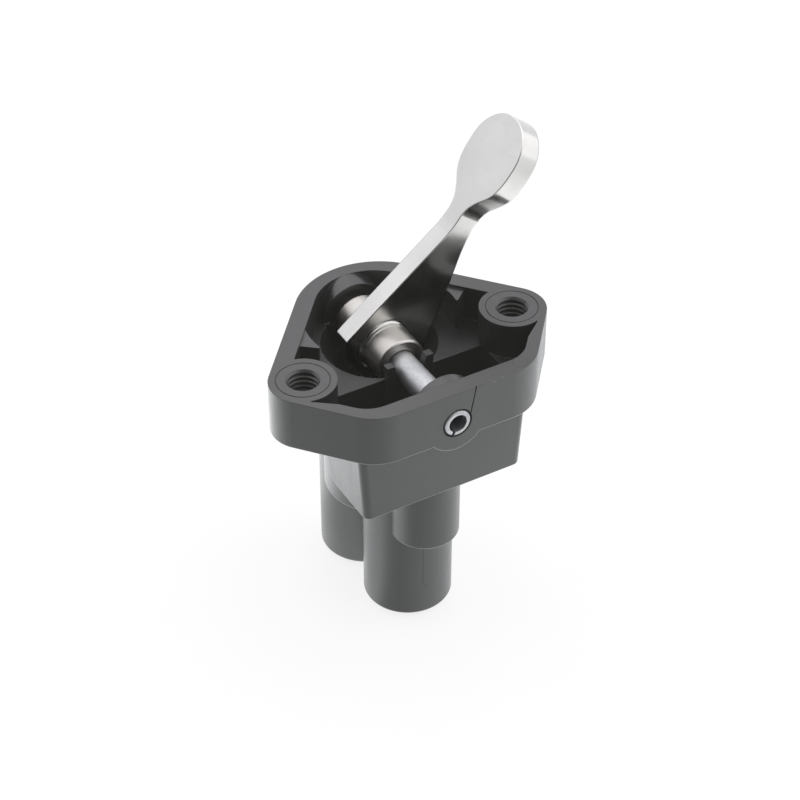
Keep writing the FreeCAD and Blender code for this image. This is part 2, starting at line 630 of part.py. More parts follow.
# tube bores
for which, yy in (("front", S.front_socket_y), ("rear", S.rear_socket_y)):
    sk = new_sketch(body, which + "_tube_profile", "XZ_Plane", -yy)
    add_poly(sk, [(0, -S.socket_bottom - 1.0), (S.cart_rad + 0.5, -S.socket_bottom - 1.0),
                  (S.cart_rad + 0.5, -S.socket_bottom), (S.cart_rad, -S.socket_bottom + 0.5),
                  (S.cart_rad, -S.cart_top), (S.tube_rad + 0.02, -S.cart_top),
                  (S.tube_rad + 0.02, -S.tube_stop), (S.tube_pass_rad, -S.tube_stop),
                  (S.tube_pass_rad - 0.4, -31.9), (0, -31.9)])
    groove(body, which + "_tube_bore", sk)

# --------------------------------------------------------------- pivot pin
pin = new_body("pivot_pin", 0, -S.pin_front_y, -S.pin_z)
sk = new_sketch(pin, "pin_section", "XZ_Plane")
add_circle(sk, 0, 0, S.pin_rad)
add_circle(sk, 0, 0, S.pin_bore_rad)
pad(pin, "pin_tube", sk, S.pin_length, reversed_=True)
sk = new_sketch(pin, "pin_slot_section", "XZ_Plane", 1.0,
                place=Placement(Vector(0, 0, 1.0), Rotation(Vector(0, 0, 1), -90 - 25.0)))
add_poly(sk, [(0.3, -S.pin_slot / 2), (3.0, -S.pin_slot / 2), (3.0, S.pin_slot / 2), (0.3, S.pin_slot / 2)])
pocket(pin, "pin_slot", sk, S.pin_length + 2.0)
round_edges(pin, "pin_end_rounding", 0.28,
            lambda e: near(e.BoundBox.YLength, 0) and e.BoundBox.XLength > 3.9)

# ------------------------------------------------------------------- lever
# Local origin on the pin axis in the lever's centre plane.
lever = new_body("lever", 0, S.axis_y, -S.pin_z)
k = (S.cam_high.v - S.cam_low.v) / math.radians(S.cam_angle.v)
cam = []
for i in range(13):
    phi = math.radians(S.cam_angle.v) * i / 12
    al = math.radians(-90) - phi
    hh = S.cam_high.v - k * phi
    cam.append((hh * math.cos(al) - k * math.sin(al) * -1 * -1, hh * math.sin(al) + k * math.cos(al)))
ARM = [(-6.22, 2.85), (10.5, 15.92), (11.44, 16.80), (12.23, 17.76), (12.9, 18.65), (15.0, 21.43),
       (17.45, 18.98), (15.35, 16.2), (14.46, 15.2), (13.82, 14.05), (12.92, 12.18), (12.15, 10.45),
       (11.5, 8.85), (10.95, 7.4), (10.43, 6.0), (9.4, 3.6), (8.3, 1.5), (7.4, -0.2), (6.45, -2.9),
       (4.3, -5.6), (3.0, -6.5)]
sk = new_sketch(lever, "arm_outline", "XZ_Plane")
arm_pts = ARM + cam + [(-4.6, -0.6), (-4.9, 1.2)]
add_poly(sk, arm_pts)
pad(lever, "arm_plate", sk, S.lever_width, midplane=True)
sk = new_sketch(lever, "hub_profile", "YZ_Plane")
hub_side = [(2.45, S.hub_rad), (2.4, S.hub_rad + 0.07), (1.95, S.hub_rad + 0.07), (1.78, S.hub_rad + 0.13),
            (1.64, S.hub_rad + 0.28), (1.56, S.hub_rad + 0.5), (1.5, S.hub_ring_rad)]
add_poly(sk, [(-S.hub_half, 2.55), (-S.hub_half, S.hub_rad - 0.25), (-S.hub_half + 0.25, S.hub_rad)]
         + [(-y, r) for y, r in hub_side] + list(reversed(hub_side))
         + [(S.hub_half - 0.25, S.hub_rad), (S.hub_half, S.hub_rad - 0.25),
            (S.hub_half, 2.55), (S.hub_half - 0.4, 1.8), (-S.hub_half + 0.4, 1.8)])
revolve(lever, "hub", sk, "H_Axis")
tilt = 53.0
place = Placement(Vector(12.6, 0, 18.25), Rotation(Vector(0, 1, 0), -tilt))
sk = new_sketch(lever, "paddle_outline", "XY_Plane", place=place)
half = [(0.0, 1.55), (0.9, 1.72), (2.02, 2.22), (3.17, 3.08), (4.24, 4.05), (5.24, 4.72), (6.36, 5.13),
        (7.6, 5.35), (8.9, 5.43), (10.2, 5.41), (11.51, 5.20), (12.6, 4.78), (13.5, 4.2), (14.3, 3.45),
        (14.95, 2.55), (15.4, 1.5), (15.6, 0.0)]
pts = [Vector(a, b, 0) for a, b in half] + [Vector(a, -b, 0) for a, b in reversed(half[:-1])]
curve = Part.BSplineCurve()
curve.interpolate(pts)
sk.addGeometry(curve, False)
sk.addGeometry(Part.LineSegment(pts[-1], pts[0]), False)
sk.addConstraint(Sketcher.Constraint("Coincident", 1, 1, 0, 2))
sk.addConstraint(Sketcher.Constraint("Coincident", 1, 2, 0, 1))
pad(lever, "paddle", sk, S.paddle_thick, reversed_=True)
sk = new_sketch(lever, "hub_bore_section", "XZ_Plane", 10.0)
add_circle(sk, 0, 0, S.hub_bore_rad)
pocket(lever, "hub_bore", sk, 20.0)

# -------------------------------------------------------------- stem group
AX = S.axis_y
stem_z = -S.follower_top
# heights in the stem group are measured from the top of the follower
ring_body("cam_follower", [(0, 0), (S.follower_rad - 0.3, 0), (S.follower_rad, -0.3),
                           (S.follower_rad, -1.5), (1.3, -1.5), (1.3, -0.8), (0, -0.8)], 0, AX, stem_z)
ring_body("stem", [(0, -0.82), (1.28, -0.82), (1.28, -1.55), (S.stem_rad, -1.55), (S.stem_rad, -9.6),
                   (1.45, -10.2), (1.45, -12.9), (2.5, -13.2), (2.5, -13.5), (1.2, -13.5), (1.2, -15.2),
                   (1.0, -15.4), (0, -15.4)], 0, AX, stem_z)
ring_body("poppet", [(1.22, -13.52), (4.2, -13.52), (4.2, -14.62), (1.22, -14.62)], 0, AX, stem_z)
ring_body("poppet_clip", [(1.22, -14.64), (2.3, -14.64), (2.3, -15.0), (1.22, -15.0)], 0, AX, stem_z)

# ------------------------------------------------------------ chamber stack
ring_body("retaining_ring", [(5.05, -14.55), (6.38, -14.55), (6.38, -15.3), (5.05, -15.3)], 0, AX)
clip = NODES[-1]
sk = new_sketch(clip, "clip_gap_outline", "XY_Plane", -14.0)
add_poly(sk, [(-1.6, 3.5), (1.6, 3.5), (1.6, 7.0), (-1.6, 7.0)])
pocket(clip, "clip_gap", sk, 2.0)
ring_body("guide_bush", [(3.6, -15.42), (5.5, -15.42), (5.97, -15.8), (5.97, -18.2), (4.9, -18.2), (4.9, -19.4),
                         (5.97, -19.4), (5.97, -20.2), (3.42, -20.2), (3.42, -18.7), (2.04, -18.7),
                         (2.04, -17.6), (3.6, -17.6)], 0, AX)
ring_body("exhaust_spacer", [(4.5, -20.54), (5.97, -20.54), (5.97, -22.18), (4.5, -22.18)], 0, AX)
spacer = NODES[-1]
sk = new_sketch(spacer, "exhaust_window_section", "XZ_Plane", 7.0)
add_circle(sk, 0, -21.36, 0.72)
pocket(spacer, "exhaust_windows", sk, 14.0)
ring_body("stem_gland_ring", [(2.1, -20.22), (5.95, -20.22), (5.95, -20.52), (2.1, -20.52)], 0, AX)
ring_body("upper_seat", [(2.9, -22.2), (5.97, -22.2), (5.97, -23.1), (3.5, -23.1), (3.3, -23.3), (2.9, -23.3)],
          0, AX)
ring_body("seat_cage", [(4.9, -23.12), (5.97, -23.12), (5.97, -26.98), (4.9, -26.98)], 0, AX)
cage = NODES[-1]
sk = new_sketch(cage, "cage_window_section", "XZ_Plane", 7.0)
add_circle(sk, 0, -25.05, 1.4)
pocket(cage, "cage_windows", sk, 14.0)
sk = new_sketch(cage, "cage_side_window_section", "YZ_Plane", -7.0)
add_circle(sk, 0, -25.05, 1.4)
pocket(cage, "cage_side_windows", sk, 14.0, reversed_=True)
ring_body("lower_seat", [(2.9, -26.84), (3.3, -26.84), (3.5, -27.0), (5.97, -27.0), (5.97, -27.2), (4.95, -27.2),
                         (4.95, -27.98), (2.9, -27.98)], 0, AX)


def o_ring(name, rad, cord, x, y, z):
    """An O-ring as a turned circle."""
    b = new_body(name, x, y, z)
    s = new_sketch(b, name + "_section", "XZ_Plane")
    add_circle(s, rad, 0, cord)
    revolve(b, name + "_ring", s)
    return b


o_ring("stem_seal", 2.7, 0.6, 0, AX, -19.45)
o_ring("bush_seal", 5.45, 0.52, 0, AX, -18.8)
o_ring("lower_seat_seal", 5.47, 0.37, 0, AX, -27.6)

# ------------------------------------------------------------ return spring
spring = new_body("return_spring", 0, AX, -17.58)
helix_sk = new_sketch(spring, "spring_wire_section", "XZ_Plane")
add_circle(helix_sk, 2.5, 0.26, 0.25)
hx = spring.newObject("PartDesign::AdditiveHelix", "spring_coils")
hx.Profile = helix_sk
hx.ReferenceAxis = (helix_sk, ["V_Axis"])
hx.Mode = "height-turns-growth"
hx.Height = 3.34
hx.Turns = 4.0
hx.Growth = 0
helix_sk.Visibility = False

# ------------------------------------------------------ push-in tube sockets
# heights of the collet and its housing are measured from the socket mouth
for which, yy in (("front", S.front_socket_y), ("rear", S.rear_socket_y)):
    o_ring(which + "_tube_seal", 4.85, 0.72, 0, yy, -38.78)
    ring_body(which + "_support_ring", [(4.2, -39.6), (5.56, -39.6), (5.56, -41.2), (5.1, -41.2), (4.2, -40.5)],
              0, yy)
    ring_body(which + "_grip_ring", [(4.14, -40.75), (4.24, -40.65), (5.1, -41.25), (5.56, -41.25),
                                     (5.56, -41.5), (5.05, -41.5)], 0, yy)
    grip = NODES[-1]
    gs = new_sketch(grip, which + "_grip_slot_outline", "XY_Plane", -39.0)
    for n in range(8):
        a = math.radians(45 * n + 22.5)
        ca, sa = math.cos(a), math.sin(a)
        add_poly(gs, [(3.6 * ca + 0.3 * sa, 3.6 * sa - 0.3 * ca), (4.95 * ca + 0.3 * sa, 4.95 * sa - 0.3 * ca),
                      (4.95 * ca - 0.3 * sa, 4.95 * sa + 0.3 * ca), (3.6 * ca - 0.3 * sa, 3.6 * sa + 0.3 * ca)])
    pocket(grip, which + "_grip_slots", gs, 4.0)
    m = -S.socket_bottom
    ring_body(which + "_collet_housing", [(4.95, -41.55), (5.58, -41.55), (5.58, m + 0.5), (5.4, m + 0.3),
                                          (4.68, m + 0.3), (4.68, -43.0), (4.95, -42.9)], 0, yy)
    ring_body(which + "_collet", [(4.1, -42.25), (4.5, -42.15), (4.85, -42.35), (4.85, -42.75), (4.6, -42.95),
                                  (4.6, m - 0.27), (5.25, m - 0.3), (5.25, m - 0.47), (5.1, m - 0.6),
                                  (4.3, m - 0.6), (4.1, m - 0.4)], 0, yy)

doc.recompute()

# ------------------------------------------------------------------- output
for obj in doc.Objects:
    if "Invalid" in obj.State or "Error" in obj.State:
        raise RuntimeError("object %s is %s" % (obj.Name, obj.State))
for node in NODES:
    shp = node.Shape
    if shp.isNull() or not shp.isValid():
        raise RuntimeError("node %s has no valid shape" % node.Label)
os.makedirs("parts", exist_ok=True)
for node in NODES:
    node.Shape.exportStep("parts/%s.step" % node.Label)
    print(node.Label, "solids", len(node.Shape.Solids), "volume %.1f" % node.Shape.Volume)
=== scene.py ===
import json
import math
import bpy
import bmesh
from mathutils import Matrix, Vector


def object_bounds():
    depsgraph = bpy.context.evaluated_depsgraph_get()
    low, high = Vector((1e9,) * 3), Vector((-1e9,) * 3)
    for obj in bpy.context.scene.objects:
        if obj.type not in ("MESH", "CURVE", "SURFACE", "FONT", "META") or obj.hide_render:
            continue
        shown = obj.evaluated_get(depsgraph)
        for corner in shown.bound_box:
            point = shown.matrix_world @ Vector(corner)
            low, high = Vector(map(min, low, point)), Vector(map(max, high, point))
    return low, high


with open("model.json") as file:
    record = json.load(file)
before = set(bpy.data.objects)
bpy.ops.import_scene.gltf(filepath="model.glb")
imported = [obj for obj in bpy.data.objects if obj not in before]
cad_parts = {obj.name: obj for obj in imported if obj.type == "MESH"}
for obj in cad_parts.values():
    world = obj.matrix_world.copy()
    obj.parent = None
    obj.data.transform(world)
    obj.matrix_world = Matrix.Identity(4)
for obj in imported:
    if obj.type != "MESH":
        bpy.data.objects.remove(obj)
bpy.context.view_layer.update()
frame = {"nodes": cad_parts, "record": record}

scene = bpy.context.scene
nodes = frame["nodes"]
MM = 0.001


# ------------------------------------------------------------------ node help
class Net:
    """A small helper round a material's node tree."""

    def __init__(self, name):
        self.mat = bpy.data.materials.new(name)
        self.mat.use_nodes = True
        self.t = self.mat.node_tree
        self.t.nodes.clear()
        self.out = self.t.nodes.new("ShaderNodeOutputMaterial")

    def new(self, kind, **props):
        n = self.t.nodes.new(kind)
        for k, v in props.items():
            setattr(n, k, v)
        return n

    def set(self, sock, val):
        if isinstance(val, bpy.types.NodeSocket):
            self.t.links.new(val, sock)
        elif isinstance(val, (int, float)):
            if sock.type in ("RGBA",):
                sock.default_value = (val, val, val, 1)
            elif sock.type == "VECTOR":
                sock.default_value = (val, val, val)
            else:
                sock.default_value = val
        else:
            v = tuple(val)
            if sock.type == "RGBA" and len(v) == 3:
                v = v + (1.0,)
            sock.default_value = v

    def coords(self, scale=(1, 1, 1), rot=(0, 0, 0)):
        tc = self.new("ShaderNodeTexCoord")
        mp = self.new("ShaderNodeMapping")
        self.set(mp.inputs["Scale"], scale)
        self.set(mp.inputs["Rotation"], rot)
        self.t.links.new(tc.outputs["Object"], mp.inputs["Vector"])
        return mp.outputs["Vector"]

    def noise(self, vec, scale, detail=4.0, rough=0.55, dist=0.0):
        n = self.new("ShaderNodeTexNoise")
        self.t.links.new(vec, n.inputs["Vector"])
        n.inputs["Scale"].default_value = scale
        n.inputs["Detail"].default_value = detail
        n.inputs["Roughness"].default_value = rough
        n.inputs["Distortion"].default_value = dist
        return n.outputs["Fac"]

    def voronoi(self, vec, scale, feature="F1"):
        n = self.new("ShaderNodeTexVoronoi", feature=feature)
        self.t.links.new(vec, n.inputs["Vector"])
        n.inputs["Scale"].default_value = scale
        return n.outputs["Distance"]

    def remap(self, val, a, b, c, d, clamp=True):
        n = self.new("ShaderNodeMapRange")
        n.clamp = clamp
        self.set(n.inputs["Value"], val)
        for i, x in enumerate((a, b, c, d)):
            self.set(n.inputs[i + 1], x)
        return n.outputs["Result"]

    def math(self, op, a, b=0.0, c=None):
        n = self.new("ShaderNodeMath", operation=op)
        self.set(n.inputs[0], a)
        self.set(n.inputs[1], b)
        if c is not None:
            self.set(n.inputs[2], c)
        return n.outputs[0]

    def mix(self, fac, a, b, blend="MIX"):
        n = self.new("ShaderNodeMix", data_type="RGBA", blend_type=blend)
        self.set(n.inputs["Factor"], fac)
        self.set(n.inputs["A"], a) if False else self.set(n.inputs[6], a)
        self.set(n.inputs[7], b)
        return n.outputs[2]

    def edge(self, radius, samples=6):
        """(rounded normal, 0..1 mask of the edges that it rounds)."""
        b = self.new("ShaderNodeBevel", samples=samples)
        b.inputs["Radius"].default_value = radius
        g = self.new("ShaderNodeNewGeometry")
        d = self.new("ShaderNodeVectorMath", operation="DOT_PRODUCT")
        self.t.links.new(b.outputs["Normal"], d.inputs[0])
        self.t.links.new(g.outputs["Normal"], d.inputs[1])
        return b.outputs["Normal"], self.remap(d.outputs["Value"], 1.0, 0.86, 0.0, 1.0)

    def bump(self, height, strength, distance, normal=None):
        n = self.new("ShaderNodeBump")
        n.inputs["Strength"].default_value = strength
        n.inputs["Distance"].default_value = distance
        self.t.links.new(height, n.inputs["Height"])
        if normal is not None:
            self.t.links.new(normal, n.inputs["Normal"])
        return n.outputs["Normal"]

    def surface(self, color, rough, metallic=0.0, normal=None, **extra):
        p = self.new("ShaderNodeBsdfPrincipled")
        self.set(p.inputs["Base Color"], color)
        self.set(p.inputs["Roughness"], rough)
        self.set(p.inputs["Metallic"], metallic)
        if normal is not None:
            self.t.links.new(normal, p.inputs["Normal"])
        for k, v in extra.items():
            self.set(p.inputs[k.replace("_", " ")], v)
        self.t.links.new(p.outputs["BSDF"], self.out.inputs["Surface"])
        return self.mat


def dress(node, mat, smooth=None):
    o = nodes[node]
    if not o.material_slots:
        o.data.materials.append(mat)
    for s in o.material_slots:
        s.material = mat


# ------------------------------------------------------------------ materials
def body_plastic():
    """Charcoal glass-filled polyamide, satin from a spark-eroded tool."""
    m = Net("body_plastic")
    v = m.coords()
    n1, e1 = m.edge(0.18 * MM)
    cloud = m.noise(v, 90.0, 5.0, 0.6)
    flow = m.noise(m.coords((1.0, 1.0, 0.25), (0.2, 0.1, 0.4)), 260.0, 6.0, 0.62, 0.6)
    fleck = m.noise(v, 2600.0, 3.0, 0.6)
    scuff = m.noise(m.coords((1.0, 6.0, 2.0), (0.0, 0.5, 0.6)), 420.0, 5.0, 0.7, 1.2)
    base = m.mix(m.remap(cloud, 0.35, 0.68, 0.0, 1.0), (0.0085, 0.0087, 0.0098), (0.013, 0.013, 0.0148))
    base = m.mix(m.remap(flow, 0.52, 0.75, 0.0, 0.35), base, (0.019, 0.019, 0.021))
    base = m.mix(m.remap(fleck, 0.62, 0.75, 0.0, 0.35), base, (0.036, 0.036, 0.038))
    # painted highlight: the rounded edges are made paler where light would catch them
    base = m.mix(m.math("MULTIPLY", e1, m.remap(cloud, 0.3, 0.7, 0.1, 0.4)), base, (0.09, 0.09, 0.092))
    base = m.mix(m.remap(scuff, 0.70, 0.80, 0.0, 0.5), base, (0.06, 0.06, 0.062))
    rough = m.remap(flow, 0.3, 0.7, 0.31, 0.40)
    rough = m.math("ADD", rough, m.remap(fleck, 0.3, 0.7, -0.03, 0.04, False))
    # painted reflection: the rounded lower edges, turned down towards the bright table, are made pale as if
    # mirroring it
    g = m.new("ShaderNodeNewGeometry")
    nz = m.new("ShaderNodeSeparateXYZ")
    m.t.links.new(g.outputs["Normal"], nz.inputs["Vector"])
    pz = m.new("ShaderNodeSeparateXYZ")
    m.t.links.new(g.outputs["Position"], pz.inputs["Vector"])
    floor_glint_paint = m.math("MULTIPLY", m.remap(nz.outputs["Z"], -0.12, -0.40, 0.0, 1.0),
                  m.remap(nz.outputs["Z"], -0.97, -0.80, 0.0, 1.0))
    floor_glint_paint = m.math("MULTIPLY", floor_glint_paint, m.remap(pz.outputs["Z"], -43 * MM, -38 * MM, 0.25, 1.0))
    base = m.mix(m.math("MULTIPLY", floor_glint_paint, 0.8), base, (0.20, 0.20, 0.205))
    # the floor of the well is matter than the outside
    inside = m.math("MULTIPLY", m.remap(pz.outputs["Z"], -1.5 * MM, -3.5 * MM, 0.0, 1.0),
                    m.remap(nz.outputs["Z"], 0.5, 0.8, 0.0, 1.0))
    rough = m.math("ADD", rough, m.math("MULTIPLY", inside, 0.08))
    gloss = m.math("SUBTRACT", 0.75, m.math("MULTIPLY", inside, 0.27))
    grain = m.noise(v, 3800.0, 3.0, 0.6)
    wave = m.noise(v, 150.0, 3.0, 0.5)
    n2 = m.bump(grain, 0.14, 0.03 * MM, n1)
    n3 = m.bump(wave, 0.10, 0.25 * MM, n2)
    # moulding marks, in tone only: a witness line on the front tube socket, with a painted highlight along its
    # right edge and a duller, less glossy strip along its left edge where it would be shaded, an ejector ring and
    # a scuff on the rim
    px, py, z = (pz.outputs[k] for k in "XYZ")
    u = m.math("SUBTRACT", px, 0.23 * MM)
    below = m.math("MINIMUM", m.math("ADD", z, 40.6 * MM), 0.0)
    away = m.math("SQRT", m.math("ADD", m.math("MULTIPLY", u, u), m.math("MULTIPLY", below, below)))
    line = m.remap(m.math("ABSOLUTE", m.math("SUBTRACT", away, 1.43 * MM)), 0.02 * MM, 0.13 * MM, 1.0, 0.0)
    line = m.math("MULTIPLY", line, m.math("MULTIPLY", m.remap(py, 0.0, -1.0 * MM, 0.0, 1.0),
                                           m.remap(z, -31.6 * MM, -32.0 * MM, 0.0, 1.0)))
    matt = m.math("MULTIPLY", line, m.remap(u, -1.1 * MM, -0.4 * MM, 1.0, 0.0))
    ridge_highlight_paint = m.math("MULTIPLY", line, m.remap(u, 0.1 * MM, 1.1 * MM, 0.0, 1.0))
    ex, ey = m.math("SUBTRACT", px, 11.1 * MM), m.math("ADD", py, 11.5 * MM)
    ring = m.math("SQRT", m.math("ADD", m.math("MULTIPLY", ex, ex), m.math("MULTIPLY", ey, ey)))
    ring = m.remap(m.math("ABSOLUTE", m.math("SUBTRACT", ring, 1.1 * MM)), 0.0, 0.16 * MM, 1.0, 0.0)
    ring = m.math("MULTIPLY", ring, m.remap(z, -0.3 * MM, -0.1 * MM, 0.0, 1.0))
    gloss = m.math("SUBTRACT", gloss, m.math("MULTIPLY", matt, 0.26))
    # painted highlight on the lit right edge of the witness line
    base = m.mix(m.math("MULTIPLY", ridge_highlight_paint, 0.5), base, (0.045, 0.045, 0.046))
    gloss = m.math("SUBTRACT", gloss, m.math("MULTIPLY", ring, 0.16))
    rub = m.math("MULTIPLY", m.remap(m.math("ABSOLUTE", m.math("SUBTRACT", px, 6.2 * MM)),
                                     0.9 * MM, 1.4 * MM, 1.0, 0.0),
                 m.math("MULTIPLY", m.remap(py, -12.85 * MM, -13.05 * MM, 0.0, 1.0),
                        m.remap(z, -0.55 * MM, -0.35 * MM, 0.0, 1.0)))
    rub = m.math("MULTIPLY", rub, m.remap(m.noise(v, 1500.0, 3.0, 0.6), 0.42, 0.58, 0.0, 1.0))
    base = m.mix(m.math("MULTIPLY", rub, 0.6), base, (0.10, 0.10, 0.102))
    # painted glow: a faint emission over the whole body keeps its shaded hollows from going fully black
    return m.surface(base, rough, 0.0, n3, IOR=1.62, Specular_IOR_Level=gloss,
                     Emission_Color=(0.0118, 0.0122, 0.0108), Emission_Strength=1.0)


def nickel():
    """Satin nickel plate on a die casting: cloudy, a little waved, with a painted highlight along the edges."""
    m = Net("satin_nickel")
    v = m.coords()
    n1, e1 = m.edge(0.30 * MM, 8)
    cloud = m.noise(v, 110.0, 4.0, 0.5)
    mottle = m.noise(v, 700.0, 5.0, 0.6)
    brush = m.noise(m.coords((1.0, 9.0, 1.0), (0, math.radians(38), 0)), 900.0, 4.0, 0.6)
    pits = m.voronoi(v, 900.0)
    base = m.mix(m.remap(cloud, 0.35, 0.7, 0.0, 1.0), (0.635, 0.63, 0.61), (0.70, 0.695, 0.676))
    base = m.mix(m.remap(mottle, 0.55, 0.75, 0.0, 0.25), base, (0.56, 0.55, 0.525))
    # painted highlight: the rounded edges are made paler where light would catch them
    base = m.mix(m.math("MULTIPLY", e1, 0.25), base, (0.80, 0.795, 0.78))
    rough = m.remap(cloud, 0.3, 0.72, 0.17, 0.23)
    rough = m.math("ADD", rough, m.remap(mottle, 0.3, 0.7, -0.02, 0.03, False))
    # the hub is turned, so it is more satin than the arm
    xyz = m.new("ShaderNodeSeparateXYZ")
    m.t.links.new(m.new("ShaderNodeTexCoord").outputs["Object"], xyz.inputs["Vector"])
    dz = m.math("ADD", xyz.outputs["Z"], 5.28 * MM)
    reach = m.math("SQRT", m.math("ADD", m.math("POWER", xyz.outputs["X"], 2.0), m.math("POWER", dz, 2.0)))
    aside = m.math("ABSOLUTE", m.math("ADD", xyz.outputs["Y"], -8.75 * MM))
    hub = m.math("MULTIPLY", m.remap(reach, 4.1 * MM, 4.5 * MM, 1.0, 0.0), m.remap(aside, 1.65 * MM, 2.0 * MM, 0.0, 1.0))
    rough = m.math("ADD", rough, m.math("MULTIPLY", hub, 0.17))
    base = m.mix(m.math("MULTIPLY", hub, 0.8), base, (0.54, 0.522, 0.492))
    # painted shade: the faces turned down are darkened and made rougher, as if lying in the shade of the body
    # below them
    nz = m.new("ShaderNodeSeparateXYZ")
    m.t.links.new(m.new("ShaderNodeNewGeometry").outputs["Normal"], nz.inputs["Vector"])
    under = m.remap(nz.outputs["Z"], -0.46, -0.60, 0.0, 1.0)
    base = m.mix(m.math("MULTIPLY", under, 0.9), base, (0.21, 0.207, 0.20))
    rough = m.math("ADD", rough, m.math("MULTIPLY", under, 0.12))
    n2 = m.bump(brush, 0.035, 0.02 * MM, n1)
    n3 = m.bump(cloud, 0.08, 0.25 * MM, n2)
    n4 = m.bump(m.remap(pits, 0.0, 0.12, 0.0, 1.0), 0.10, 0.02 * MM, n3)
    return m.surface(base, rough, 1.0, n4)


def pin_steel():
    """Phosphated spring steel, light grey and rough, marked along its length."""
    m = Net("pin_steel")
    v = m.coords()
    n1, e1 = m.edge(0.14 * MM)
    line = m.noise(m.coords((1.0, 0.12, 1.0)), 1500.0, 4.0, 0.65)
    mottle = m.noise(v, 1900.0, 5.0, 0.7)
    stain = m.noise(v, 300.0, 4.0, 0.6)
    base = m.mix(m.remap(stain, 0.35, 0.7, 0.0, 1.0), (0.53, 0.54, 0.555), (0.64, 0.645, 0.655))
    base = m.mix(m.remap(mottle, 0.45, 0.7, 0.0, 0.55), base, (0.46, 0.465, 0.475))
    base = m.mix(m.remap(line, 0.55, 0.75, 0.0, 0.3), base, (0.50, 0.50, 0.50))
    # painted highlight: the rounded edges are made paler where light would catch them
    base = m.mix(m.math("MULTIPLY", e1, 0.7), base, (0.86, 0.86, 0.86))
    rough = m.remap(mottle, 0.3, 0.7, 0.44, 0.60)
    n2 = m.bump(line, 0.08, 0.02 * MM, n1)
    n3 = m.bump(mottle, 0.30, 0.03 * MM, n2)
    return m.surface(base, rough, 1.0, n3)


def turned_brass():
    m = Net("turned_brass")
    v = m.coords()
    n1, e1 = m.edge(0.1 * MM, 4)
    rings = m.noise(m.coords((0.1, 0.1, 1.0)), 2600.0, 3.0, 0.6)
    stain = m.noise(v, 300.0, 4.0, 0.6)
    base = m.mix(m.remap(stain, 0.35, 0.7, 0.0, 1.0), (0.60, 0.43, 0.19), (0.74, 0.57, 0.29))
    rough = m.remap(stain, 0.3, 0.7, 0.24, 0.38)
    n2 = m.bump(rings, 0.15, 0.02 * MM, n1)
    return m.surface(base, rough, 1.0, n2)


def acetal(name, lo, hi, r0, r1, spec=0.5):
    m = Net(name)
    v = m.coords()
    n1, e1 = m.edge(0.12 * MM, 4)
    cloud = m.noise(v, 300.0, 4.0, 0.6)
    grain = m.noise(v, 3600.0, 3.0, 0.6)
    base = m.mix(m.remap(cloud, 0.35, 0.7, 0.0, 1.0), lo, hi)
    # painted highlight: the rounded edges are made paler where light would catch them
    base = m.mix(m.math("MULTIPLY", e1, 0.35), base, tuple(min(1.0, c * 2.2) for c in hi))
    n2 = m.bump(grain, 0.12, 0.02 * MM, n1)
    return m.surface(base, m.remap(cloud, 0.3, 0.7, r0, r1), 0.0, n2, Specular_IOR_Level=spec)


def spring_steel():
    m = Net("spring_steel")
    v = m.coords()
    n1, e1 = m.edge(0.06 * MM, 4)
    stain = m.noise(v, 900.0, 4.0, 0.6)
    base = m.mix(m.remap(stain, 0.35, 0.7, 0.0, 1.0), (0.40, 0.40, 0.41), (0.60, 0.60, 0.60))
    n2 = m.bump(stain, 0.08, 0.02 * MM, n1)
    return m.surface(base, m.remap(stain, 0.3, 0.7, 0.24, 0.40), 1.0, n2)


def nitrile():
    m = Net("nitrile_rubber")
    v = m.coords()
    dust = m.noise(v, 1400.0, 5.0, 0.65)
    base = m.mix(m.remap(dust, 0.45, 0.75, 0.0, 1.0), (0.012, 0.012, 0.012), (0.035, 0.035, 0.035))
    n2 = m.bump(dust, 0.2, 0.03 * MM)
    return m.surface(base, m.remap(dust, 0.3, 0.7, 0.55, 0.75), 0.0, n2)


BODY = body_plastic()
NICKEL = nickel()
PIN = pin_steel()
BRASS = turned_brass()
BLACK = acetal("black_acetal", (0.020, 0.020, 0.022), (0.034, 0.034, 0.036), 0.30, 0.42)
INNER = acetal("inner_plastic", (0.045, 0.046, 0.048), (0.07, 0.07, 0.074), 0.36, 0.48)
COLLET = acetal("collet_plastic", (0.022, 0.022, 0.025), (0.036, 0.036, 0.040), 0.24, 0.36)
SPRING = spring_steel()
RUBBER = nitrile()

by_slot = {"body": BODY, "pin": PIN, "lever": NICKEL, "acetal": BLACK, "brass": BRASS, "seal": RUBBER,
           "spring_steel": SPRING, "inner_plastic": INNER, "collet": COLLET}
for part in frame["record"]["subparts"]:
    dress(part["node"], by_slot[part["material_slot"]])

# ------------------------------------------------------------- floor and light
low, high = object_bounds()
floor_z = low[2] - 0.0001
bm = bmesh.new()
bmesh.ops.create_grid(bm, x_segments=8, y_segments=8, size=1.6)
me = bpy.data.meshes.new("floor")
bm.to_mesh(me)
bm.free()
floor = bpy.data.objects.new("floor", me)
floor.location = (0, 0, floor_z)
scene.collection.objects.link(floor)
f = Net("floor_paper")
fv = f.coords()
paper = f.noise(fv, 60.0, 5.0, 0.6)
f.surface(f.mix(f.remap(paper, 0.4, 0.65, 0.0, 1.0), (0.90, 0.90, 0.90), (0.93, 0.93, 0.93)), 0.85, 0.0,
          f.bump(f.noise(fv, 900.0, 4.0, 0.6), 0.05, 0.1 * MM))
